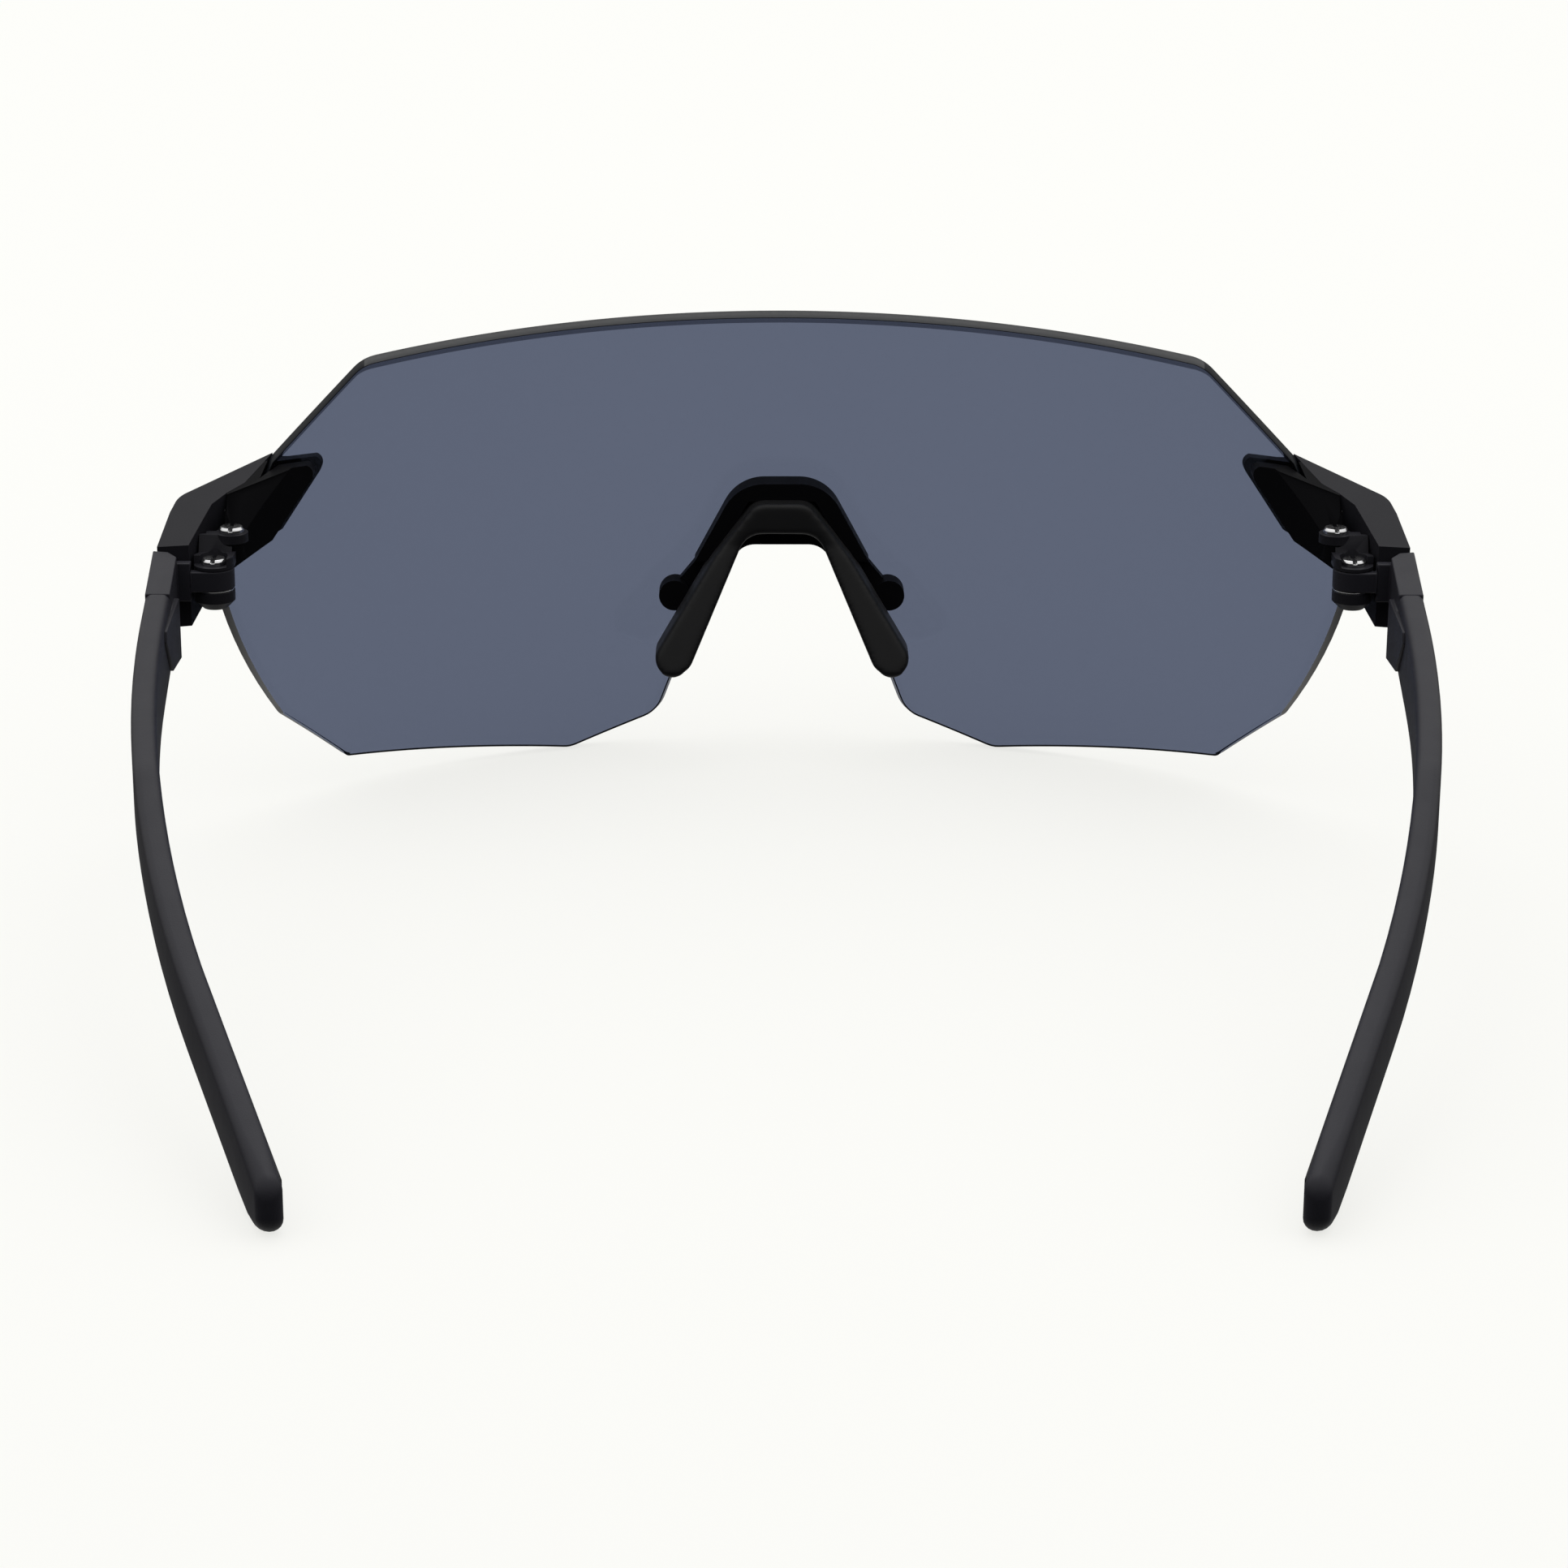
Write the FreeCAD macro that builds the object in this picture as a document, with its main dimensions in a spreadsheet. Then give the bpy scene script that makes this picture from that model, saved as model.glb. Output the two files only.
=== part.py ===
import FreeCAD, Part
import math
import os
import re
import Sketcher

# Wraparound sport sunglasses: one shield lens, a nose bridge and two folding temples.
# Frame: +Z up, +Y towards the front of the lens, +X the wearer's right. The glasses rest
# on the two inner feet of the lens and on the temple tips at Z = 0, and are centred on X
# and Y. A setback is a distance behind the front apex of the lens. The right-hand pieces
# are modelled, and the left-hand pieces are their mirror images.

DIMENSIONS = {
    # whole object
    "overall_depth": 153.4, "front_flange": 1.4, "clearance": 0.06, "reach": 60.0,
    "overcut": 1.0, "snug_fit": 0.02,
    # lens: a toric shell around an upright axis, trimmed to a faceted outline
    "lens_radius_across": 85.0, "lens_radius_up": 180.0, "lens_equator": 27.0,
    "lens_thick": 2.1, "shell_low": -6.0, "shell_high": 60.0,
    "lens_top_radius": 560.0, "shoulder_x": 49.6, "shoulder_z": 51.9, "shoulder_round": 4.0,
    "dive_x": 59.9, "dive_z": 41.92, "cover_x": 60.7, "cover_z": 40.2,
    "clip_x": 62.6, "clip_z": 38.4, "side_x": 66.2, "side_z": 27.5, "side_radius": 54.0,
    "low_x": 60.1, "low_z": 10.5, "outer_foot_x": 53.0, "outer_foot_z": 3.5,
    "foot_round": 2.0, "inner_foot_x": 26.2, "inner_foot_z": -0.088,
    "inner_foot_round": 4.0, "notch_foot_x": 15.2, "notch_foot_z": 3.6,
    "notch_side_x": 7.9, "notch_side_z": 22.0, "notch_top_x": 5.2, "notch_top_z": 25.9,
    "notch_round": 3.0,
    # end piece: its top is a plane that falls to the back and outwards
    "top_x": 59.6, "top_setback": 25.3, "top_z": 42.2, "fall_back": 23.2, "fall_out": 5.9,
    "end_height": 8.8, "slab_side": 40.0, "cheek_thick": 1.4, "end_round": 2.4,
    "end_rear_setback": 39.6, "end_low": 22.0, "end_high": 46.0, "end_start": 0.2,
    "end_slant": 0.3, "end_step": 0.4, "end_side_x": 70.9, "end_side_setback": 33.9,
    "wall_clip_setback": 30.1, "wall_arrow_setback": 31.5, "wall_bend_x": 66.1,
    "wall_bend_setback": 33.2, "wall_mouth_x": 66.6, "wall_mouth_setback": 34.8,
    "wall_rear_x": 68.1,
    # arrowhead outline that the cheek and the lens clamp share
    "arrow_tip_x": 54.5, "arrow_tip_z": 40.2, "arrow_low_x": 59.6, "arrow_low_z": 32.9,
    "arrow_end_x": 64.5, "arrow_end_z": 30.4, "arrow_round": 1.4, "arrow_top_z": 41.0,
    "cheek_end_x": 69.0, "end_corner_x": 70.2, "end_corner_setback": 31.3,
    "arrow_step": 0.4, "cheek_top_z": 41.5, "cheek_fall_z": 39.05, "arrow_nose": 1.2, "arrow_drop": 1.0,
    "bevel_length": 12.0, "bevel_side": 8.0, "clamp_bite": 1.9, "clamp_thick": 1.8,
    "clamp_bevel_tilt": 60.0, "clamp_bevel_turn": -24.5, "clamp_bevel_dip": 15.5,
    "clamp_bevel_x": 56.0, "clamp_bevel_setback": 27.9, "clamp_bevel_z": 41.4,
    # hinge: ring of the temple between the ear and the cup of the hinge block
    "hinge_x": 65.3, "hinge_setback": 39.6, "knuckle_radius": 2.3, "cup_bottom": 27.6,
    "cup_top": 29.7, "cup_round": 0.9, "washer_thick": 0.2, "ring_bottom": 29.95,
    "ring_top": 32.3, "ear_bottom": 32.38, "ear_seat": 32.75, "ear_top": 33.7,
    "spine_x": 64.9, "spine_width": 1.6, "spine_front": 35.55, "spine_rear": 37.15,
    "strap_bottom": 34.46, "strap_top": 35.5, "running_fit": 0.05,
    "hinge_screw_radius": 0.9, "screw_head_radius": 1.45, "screw_head_height": 0.7,
    "drive_width": 0.5, "drive_depth": 0.35, "head_room": 0.15, "head_rim": 0.6,
    "head_crown": 0.85, "screw_end": 1.0, "cup_floor": 0.8, "ring_room": 0.3,
    "washer_radius": 2.2, "spine_lap": 0.5, "strap_step": 1.0, "strap_end_x": 63.4,
    "deck_x": 67.2, "deck_end": 38.2, "eye_radius": 1.9,
    # front screw that ties the hinge block to the clamp
    "boss_x": 63.6, "boss_setback": 36.0, "boss_radius": 1.8, "boss_bottom": 32.65,
    "boss_top": 34.4, "boss_flat_x": 64.7, "clamp_screw_radius": 0.75,
    "clamp_screw_length": 2.8,
    # temple: plan and side outlines share these corners
    "temple_front": 40.1, "temple_front_x": 72.15, "temple_bend": 90.65,
    "temple_bend_x": 70.64, "temple_bend_radius": 231.0, "temple_end": 152.0,
    "temple_end_x": 49.2, "temple_thick": 2.8, "seam_setback": 50.0, "seam_z": 32.1,
    "top_front_z": 34.4, "top_bend": 88.0, "top_bend_z": 24.4, "top_end_z": 5.4,
    "low_front_z": 26.7, "low_belly": 58.0, "low_belly_z": 21.5, "low_bend": 92.0,
    "low_bend_z": 16.3, "foot_setback": 148.0, "temple_seam": 0.08, "profile_round": 90.0,
    "tip_round": 2.4,
    "corner_round": 1.3, "fore_corner_x": 70.4, "fore_step": 0.25, "fore_inner_x": 69.3,
    "fore_taper": 1.4, "gusset_x": 67.75, "gusset_front": 40.7, "gusset_rear": 42.0,
    "gusset_low": 28.9, "gusset_high": 33.4, "gusset_cover": 1.5,
    # tongue of the temple front inside the arm, and its pin
    "tongue_proud": 0.4, "tongue_depth": 1.3, "tongue_low_z": 24.0, "tongue_rear_z": 28.6,
    "tongue_low_setback": 53.0, "tongue_rear": 57.5, "temple_pin_radius": 0.6,
    "temple_pin_setback": 53.4, "temple_pin_z": 27.6, "temple_pin_length": 2.3,
    "tongue_front": 46.0, "tongue_step": 0.6, "tongue_nose": 1.2, "tongue_shoulder": 1.9,
    "tongue_inset": 0.4, "pin_proud": 0.2,
    # soft grip let into the inner side of the tip
    "grip_depth": 0.9, "grip_proud": 0.3, "grip_start": 116.0, "grip_end": 149.2,
    "grip_margin": 1.3, "grip_low_margin": 1.6,
    # nose bridge: clip over the notch, hood behind the lens, legs and round lugs
    "hood_top_x": 5.4, "hood_top_z": 33.4, "hood_end_x": 10.7, "hood_end_z": 23.6,
    "hood_thick": 2.2, "hood_round": 5.4, "web_round": 2.8,
    "hood_setback": 6.2, "seat_setback": 3.7,
    "clip_wall": 0.8, "clip_cover": 1.9, "clip_foot_z": 15.5, "clip_foot_x": 10.3,
    "lug_x": 13.2, "lug_z": 19.3, "lug_radius": 1.9, "lug_setback": 6.4,
    "leg_setback": 4.9, "leg_inner_x": 8.3, "leg_outer_x": 9.9,
    "leg_top_z": 24.2, "leg_foot_inner_x": 12.3, "leg_foot_outer_x": 13.2, "leg_slant": 1.0,
    "seat_inner_x": 7.1, "top_share": 0.6, "side_share": 0.95, "rise_share": 0.35,
    "behind_depth": 14.0, "rivet_radius": 0.6, "rivet_head": 1.1,
    "rivet_head_height": 0.7, "rivet_short": 0.8, "lug_surface": 0.98,
    # nose pad: one soft saddle with an arch and two legs
    "pad_top_x": 3.2, "pad_top_z": 31.3, "pad_shoulder_x": 8.3, "pad_shoulder_z": 24.9,
    "pad_low_x": 15.7, "pad_low_z": 13.6, "pad_toe_x": 13.6, "pad_toe_z": 10.9,
    "pad_inner_x": 11.2, "pad_inner_z": 12.9, "pad_arch_x": 4.4, "pad_arch_z": 27.9,
    "pad_front": 3.85, "pad_back": 8.4, "pad_knee": 9.2, "pad_knee_z": 26.5,
    "pad_toe_front": 12.2, "pad_toe_back": 15.8, "pad_round": 1.6, "pad_toe_round": 1.2,
    "pad_arch_round": 3.2, "pad_shoulder_round": 2.2,
    "pad_lug_setback": 7.0, "pad_lug_z": 19.8, "pad_waist_z": 25.5,
}

LENS_FRONT = "(overall_depth / 2 - front_flange)"
FULL_TURN = 360.0
SHELL_TURN = 170.0

document = FreeCAD.newDocument("sport_sunglasses")
sheet = document.addObject("Spreadsheet::Sheet", "Sizes")
for row, (alias, number) in enumerate(DIMENSIONS.items(), start=1):
    sheet.set("A%d" % row, alias)
    sheet.set("B%d" % row, str(number))
    sheet.setAlias("B%d" % row, alias)
document.recompute()


# ---------------------------------------------------------------- helpers

def in_sheet(expression):
    """The expression with every sheet alias written as a cell of the Sizes sheet."""
    def cell(match):
        word = match.group()
        return "Sizes." + word if word in DIMENSIONS else word
    return re.sub(r"[A-Za-z_]+", cell, str(expression))


def size(expression):
    """The number that an expression of sheet aliases has now."""
    return float(sheet.evalExpression(in_sheet(expression).replace("Sizes.", "")))


def back(expression):
    """Y of a point that lies a setback behind the lens's front apex."""
    return "(%s - (%s))" % (LENS_FRONT, expression)


def bind(feature, expressions):
    for path, expression in expressions.items():
        feature.setExpression(path, in_sheet(expression))


def place(feature, across="0", along="0", up="0"):
    bind(feature, {"Placement.Base.x": across, "Placement.Base.y": along,
                   "Placement.Base.z": up})


def arc_edge(start, end, radius):
    """Arc from start to end, anticlockwise, so that it bulges out of the outline."""
    chord = end.sub(start)
    half = chord.Length / 2
    inward = FreeCAD.Vector(-chord.y, chord.x, 0).normalize()
    centre = start.add(chord.multiply(0.5)).add(inward.multiply(math.sqrt(radius ** 2 - half ** 2)))
    angles = [math.atan2(p.y - centre.y, p.x - centre.x) for p in (start, end)]
    circle = Part.Circle(centre, FreeCAD.Vector(0, 0, 1), radius)
    return Part.ArcOfCircle(circle, angles[0], angles[1])


def pinned_sketch(body, name, plane, corners):
    """Closed outline, anticlockwise, with every corner pinned to sheet expressions.

    A corner is (across, up) or (across, up, radius of the edge that leaves it)."""
    sketch = body.newObject("Sketcher::SketchObject", name)
    origin_plane = [f for f in body.Origin.OriginFeatures if f.Role == plane][0]
    sketch.AttachmentSupport = [(origin_plane, "")]
    sketch.MapMode = "FlatFace"
    points = [FreeCAD.Vector(size(c[0]), size(c[1]), 0) for c in corners]
    count = len(corners)
    for index, corner in enumerate(corners):
        start, end = points[index], points[(index + 1) % count]
        if len(corner) > 2:
            sketch.addGeometry(arc_edge(start, end, size(corner[2])))
        else:
            sketch.addGeometry(Part.LineSegment(start, end))
    for index in range(count):
        sketch.addConstraint(Sketcher.Constraint("Coincident", index, 2, (index + 1) % count, 1))
    for index, corner in enumerate(corners):
        for kind, number, expression in (("DistanceX", points[index].x, corner[0]),
                                         ("DistanceY", points[index].y, corner[1])):
            pin = sketch.addConstraint(Sketcher.Constraint(kind, -1, 1, index, 1, number))
            sketch.setExpression("Constraints[%d]" % pin, in_sheet(expression))
        if len(corner) > 2:
            pin = sketch.addConstraint(Sketcher.Constraint("Radius", index, size(corner[2])))
            sketch.setExpression("Constraints[%d]" % pin, in_sheet(corner[2]))
    return sketch


def round_corners(body, base, corners, radius, axis):
    """Fillet of the edges that run along the axis through the given outline corners."""
    flat = {"x": lambda p: (p.y, p.z), "y": lambda p: (p.x, p.z), "z": lambda p: (p.x, p.y)}[axis]
    document.recompute()
    targets = [(size(across), size(up)) for across, up in corners]
    names = []
    for number, edge in enumerate(base.Shape.Edges, start=1):
        ends = [flat(v.Point) for v in edge.Vertexes]
        if len(ends) == 2 and math.dist(ends[0], ends[1]) < 1e-4:
            if any(math.dist(ends[0], target) < 1e-3 for target in targets):
                names.append("Edge%d" % number)
    if len(names) != len(targets):
        raise RuntimeError("%s: %d of %d corners found" % (base.Name, len(names), len(targets)))
    fillet = body.newObject("PartDesign::Fillet", base.Name + "_round")
    fillet.Base = (base, names)
    bind(fillet, {"Radius": radius})
    return fillet


PLANES = {"x": "YZ_Plane", "y": "XZ_Plane", "z": "XY_Plane"}


def prism(name, axis, corners, length, start="0", rounds=()):
    """Body whose outline is padded along an axis. Along Y it runs backwards from start.

    rounds holds (corners, radius) pairs for fillets of the upright edges."""
    body = document.addObject("PartDesign::Body", name)
    sketch = pinned_sketch(body, name + "_outline", PLANES[axis], corners)
    pad = body.newObject("PartDesign::Pad", name + "_pad")
    pad.Profile = sketch
    bind(pad, {"Length": length})
    feature = pad
    for round_number, (where, radius) in enumerate(rounds):
        feature = round_corners(body, feature, where, radius, axis)
    body.Tip = feature
    bind(body, {"Placement.Base." + axis: start})
    return body


def shell(name, outer, inner):
    """Toric shell between two offsets behind the lens's front surface."""
    body = document.addObject("PartDesign::Body", name)
    sketch = body.newObject("Sketcher::SketchObject", name + "_profile")
    origin_plane = [f for f in body.Origin.OriginFeatures if f.Role == "YZ_Plane"][0]
    sketch.AttachmentSupport = [(origin_plane, "")]
    sketch.MapMode = "FlatFace"
    centre = FreeCAD.Vector(size("lens_radius_across - lens_radius_up"), size("lens_equator"), 0)
    ends = {}
    for key, offset in (("outer", outer), ("inner", inner)):
        radius = size("lens_radius_up - (%s)" % offset)
        for level in ("shell_low", "shell_high"):
            rise = size(level) - centre.y
            ends[key, level] = FreeCAD.Vector(
                centre.x + math.sqrt(radius ** 2 - rise ** 2), size(level), 0)
        low, high = ends[key, "shell_low"], ends[key, "shell_high"]
        angles = [math.atan2(p.y - centre.y, p.x - centre.x) for p in (low, high)]
        circle = Part.Circle(centre, FreeCAD.Vector(0, 0, 1), radius)
        sketch.addGeometry(Part.ArcOfCircle(circle, angles[0], angles[1]))
    for level in ("shell_low", "shell_high"):
        sketch.addGeometry(Part.LineSegment(ends["inner", level], ends["outer", level]))
    for line, end in ((2, 1), (3, 2)):
        sketch.addConstraint(Sketcher.Constraint("Coincident", line, 1, 1, end))
        sketch.addConstraint(Sketcher.Constraint("Coincident", line, 2, 0, end))
    for arc, offset in ((0, outer), (1, inner)):
        rules = (("Radius", (arc,), "lens_radius_up - (%s)" % offset),
                 ("DistanceX", (-1, 1, arc, 3), "lens_radius_across - lens_radius_up"),
                 ("DistanceY", (-1, 1, arc, 3), "lens_equator"),
                 ("DistanceY", (-1, 1, arc, 1), "shell_low"),
                 ("DistanceY", (-1, 1, arc, 2), "shell_high"))
        for kind, place_of, expression in rules:
            pin = sketch.addConstraint(Sketcher.Constraint(kind, *place_of, size(expression)))
            sketch.setExpression("Constraints[%d]" % pin, in_sheet(expression))
    turn = body.newObject("PartDesign::Revolution", name + "_turn")
    turn.Profile = sketch
    turn.ReferenceAxis = (sketch, ["V_Axis"])
    turn.Angle = SHELL_TURN
    turn.Midplane = True
    body.Tip = turn
    bind(body, {"Placement.Base.y": "%s - lens_radius_across" % LENS_FRONT})
    return body


def cylinder(name, radius, height, across, along, up):
    """Upright cylinder."""
    rod = document.addObject("Part::Cylinder", name)
    bind(rod, {"Radius": radius, "Height": height})
    place(rod, across, along, up)
    return rod


def cross_rod(name, radius, length, across, along, up, direction):
    """Cylinder that lies along +X or along -Y."""
    rod = document.addObject("Part::Cylinder", name)
    turns = {"x": FreeCAD.Rotation(FreeCAD.Vector(0, 1, 0), 90),
             "back": FreeCAD.Rotation(FreeCAD.Vector(1, 0, 0), 90)}
    rod.Placement.Rotation = turns[direction]
    bind(rod, {"Radius": radius, "Height": length})
    place(rod, across, along, up)
    return rod


def box(name, lengths, corner):
    block = document.addObject("Part::Box", name)
    bind(block, dict(zip(("Length", "Width", "Height"), lengths)))
    place(block, *corner)
    return block


def span_box(name, low, high):
    """Box between two corners, each given as three expressions."""
    lengths = ["(%s) - (%s)" % pair for pair in zip(high, low)]
    return box(name, lengths, low)


def fuse(name, *pieces):
    union = document.addObject("Part::MultiFuse", name)
    union.Shapes = list(pieces)
    union.Refine = True
    return union


def cut(name, base, *tools):
    for number, tool in enumerate(tools):
        last = number == len(tools) - 1
        difference = document.addObject("Part::Cut", name if last else "%s_cut%d" % (name, number))
        difference.Base = base
        difference.Tool = tool
        base = difference
    return base


def common(name, *pieces):
    overlap = document.addObject("Part::MultiCommon", name)
    overlap.Shapes = list(pieces)
    return overlap


# ---------------------------------------------------------------- lens

RIGHT_EDGE = [("notch_top_x", "notch_top_z"), ("notch_side_x", "notch_side_z"),
              ("notch_foot_x", "notch_foot_z"), ("inner_foot_x", "inner_foot_z"),
              ("outer_foot_x", "outer_foot_z"), ("low_x", "low_z", "side_radius"),
              ("side_x", "side_z"), ("clip_x", "clip_z"),
              ("cover_x", "cover_z"), ("dive_x", "dive_z"),
              ("shoulder_x", "shoulder_z", "lens_top_radius")]
LEFT_EDGE = [("-" + c[0], c[1]) for c in reversed(RIGHT_EDGE)]
LEFT_EDGE[LEFT_EDGE.index(("-side_x", "side_z"))] = ("-side_x", "side_z", "side_radius")


def both_sides(*corners):
    return [(sign + c[0], c[1]) for c in corners for sign in ("", "-")]


def lens_outline_prism(name):
    rounds = [(both_sides(("shoulder_x", "shoulder_z")), "shoulder_round"),
              (both_sides(("inner_foot_x", "inner_foot_z"), ("notch_foot_x", "notch_foot_z")),
               "inner_foot_round"),
              (both_sides(("outer_foot_x", "outer_foot_z"), ("low_x", "low_z")), "foot_round"),
              (both_sides(("notch_top_x", "notch_top_z"), ("notch_side_x", "notch_side_z")),
               "notch_round")]
    return prism(name, "y", RIGHT_EDGE + LEFT_EDGE, "reach",
                 "%s + front_flange * 2" % LENS_FRONT, rounds)


def make_lens():
    blank = common("lens_blank", shell("lens_shell", "0", "lens_thick"),
                   lens_outline_prism("lens_trim"))
    holes = [cross_rod("lens_hole_" + side, "rivet_radius + running_fit", "reach", sign + "lug_x",
                       LENS_FRONT, "lug_z", "back") for side, sign in (("right", ""), ("left", "-"))]
    return cut("lens", blank, *holes)


def shell_gap():
    """Space that the lens takes up, with clearance, for the pieces that grip it."""
    return shell("lens_space", "-clearance", "lens_thick + clearance")


def clear_outline():
    grown = [("clip_x + clearance * 2", "clip_z + clearance * 2"),
             ("cover_x + clearance * 2", "cover_z + clearance * 2"),
             ("dive_x + clearance * 2", "dive_z + clearance * 2"),
             ("shoulder_x + clearance * 2", "shoulder_z + clearance * 2"),
             ("0", "shoulder_z"), ("0", "0"), ("outer_foot_x", "outer_foot_z"),
             ("low_x + clearance * 2", "low_z - clearance * 2", "side_radius"),
             ("side_x + clearance * 2", "side_z")]
    return prism("lens_space_trim", "y", grown, "reach", "%s + front_flange * 2" % LENS_FRONT)


lens = make_lens()
lens_space = common("lens_slot", shell_gap(), clear_outline())


# ---------------------------------------------------------------- end piece and clamp

TOP_TURN = (FreeCAD.Rotation(FreeCAD.Vector(1, 0, 0), DIMENSIONS["fall_back"])
            * FreeCAD.Rotation(FreeCAD.Vector(0, 1, 0), DIMENSIONS["fall_out"]))


def slab():
    """Tilted slab whose top face is the top of the end piece."""
    block = document.addObject("Part::Box", "end_slab")
    bind(block, {"Length": "slab_side", "Width": "slab_side", "Height": "end_height"})
    corner = TOP_TURN.multVec(FreeCAD.Vector(-size("slab_side") / 2, -size("slab_side") / 2,
                                             -size("end_height")))
    block.Placement.Rotation = TOP_TURN
    place(block, "top_x + (%.6f)" % corner.x, back("top_setback - (%.6f)" % corner.y),
          "top_z + (%.6f)" % corner.z)
    return block


def arrow_prism(name, end_x, end_z, fall_z):
    """Arrowhead seen from the front, with its tip towards the nose."""
    corners = [("arrow_tip_x", "arrow_tip_z"), ("arrow_low_x", "arrow_low_z"),
               (end_x, end_z), (end_x, fall_z), ("top_x + arrow_step", "cheek_top_z"),
               ("top_x + arrow_step", "arrow_top_z + arrow_step"),
               ("arrow_tip_x + arrow_nose", "arrow_top_z")]
    tips = [((("arrow_tip_x", "arrow_tip_z"),), "arrow_round")]
    return prism(name, "y", corners, "reach", "%s + front_flange * 2" % LENS_FRONT, tips)


def end_block(name, grow):
    """Upright block of the end piece; grow moves its inner walls towards the wearer."""
    plan = [("top_x + end_start", back("top_setback")), ("clip_x", back("wall_clip_setback + %s" % grow)),
            ("arrow_end_x", back("wall_arrow_setback + %s" % grow)),
            ("wall_bend_x - %s" % grow, back("wall_bend_setback")),
            ("wall_mouth_x - %s" % grow, back("wall_mouth_setback")),
            ("wall_rear_x - %s" % grow, back("end_rear_setback + end_slant")),
            ("temple_front_x - end_step", back("end_rear_setback")),
            ("end_side_x", back("end_side_setback")), ("end_corner_x", back("end_corner_setback"))]
    corner = ((("end_corner_x", back("end_corner_setback")),), "end_round")
    return prism(name, "z", plan, "end_high - end_low", "end_low", [corner])


def make_end_piece(end_slab):
    cheek = common("end_cheek", shell("cheek_shell", "-cheek_thick", "-clearance"),
                   arrow_prism("cheek_trim", "cheek_end_x", "arrow_end_z - arrow_drop",
                               "cheek_fall_z"))
    body = fuse("end_body", end_block("end_block", "0"), cheek)
    trimmed = common("end_trimmed", body, end_slab)
    return cut("end_piece_right", trimmed, lens_space)


def make_lens_clamp(end_slab):
    """Inner arrowhead plate with a bevelled top and a boss for the front screw."""
    plate = common("clamp_plate",
                   shell("clamp_shell", "lens_thick - clamp_bite", "lens_thick + clamp_thick"),
                   arrow_prism("clamp_trim", "arrow_end_x", "arrow_end_z", "cheek_top_z"))
    boss = cylinder("clamp_boss", "boss_radius", "boss_top - boss_bottom", "boss_x",
                    back("boss_setback"), "boss_bottom")
    flat = span_box("clamp_boss_flat",
                    ("boss_flat_x", back("boss_setback + boss_radius * 2"), "boss_bottom - overcut"),
                    ("boss_flat_x + boss_radius * 2", back("boss_setback - boss_radius * 2"),
                     "boss_top + overcut"))
    bevel = document.addObject("Part::Box", "clamp_bevel")
    bind(bevel, {"Length": "bevel_length", "Width": "bevel_side", "Height": "bevel_side"})
    bevel_turn = (FreeCAD.Rotation(FreeCAD.Vector(0, 0, 1), DIMENSIONS["clamp_bevel_turn"])
                  * FreeCAD.Rotation(FreeCAD.Vector(0, 1, 0), DIMENSIONS["clamp_bevel_dip"])
                  * FreeCAD.Rotation(FreeCAD.Vector(1, 0, 0), DIMENSIONS["clamp_bevel_tilt"]))
    shift = bevel_turn.multVec(FreeCAD.Vector(-size("overcut"), -size("bevel_side"), 0))
    bevel.Placement.Rotation = bevel_turn
    place(bevel, "clamp_bevel_x + (%.6f)" % shift.x,
          back("clamp_bevel_setback - (%.6f)" % shift.y), "clamp_bevel_z + (%.6f)" % shift.z)
    body = fuse("clamp_body", plate, cut("clamp_half_boss", boss, flat))
    trimmed = common("clamp_trimmed", body, end_slab)
    hole = cylinder("clamp_hole", "clamp_screw_radius + snug_fit", "end_height * 2", "boss_x",
                    back("boss_setback"), "boss_bottom - overcut")
    head_room = cylinder("clamp_head_room", "screw_head_radius + head_room", "end_height", "boss_x",
                         back("boss_setback"), "strap_top")
    eye_room = cylinder("clamp_eye_room", "eye_radius + clearance",
                        "strap_top - strap_bottom + clearance * 2", "boss_x",
                        back("boss_setback"), "strap_bottom - clearance")
    strap_room = span_box("clamp_strap_room",
                          ("strap_end_x - clearance", back("spine_rear + strap_step"),
                           "strap_bottom - clearance"),
                          ("arrow_end_x + overcut", back("spine_front - clearance"),
                           "strap_top + clearance"))
    return cut("lens_clamp_right", trimmed, lens_space, end_block("clamp_room", "clearance"),
               bevel, hole, head_room, eye_room, strap_room)


# ---------------------------------------------------------------- hinge

def knuckle(name, bottom, top, radius="knuckle_radius"):
    return cylinder(name, radius, "(%s) - (%s)" % (top, bottom), "hinge_x",
                    back("hinge_setback"), bottom)


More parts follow.
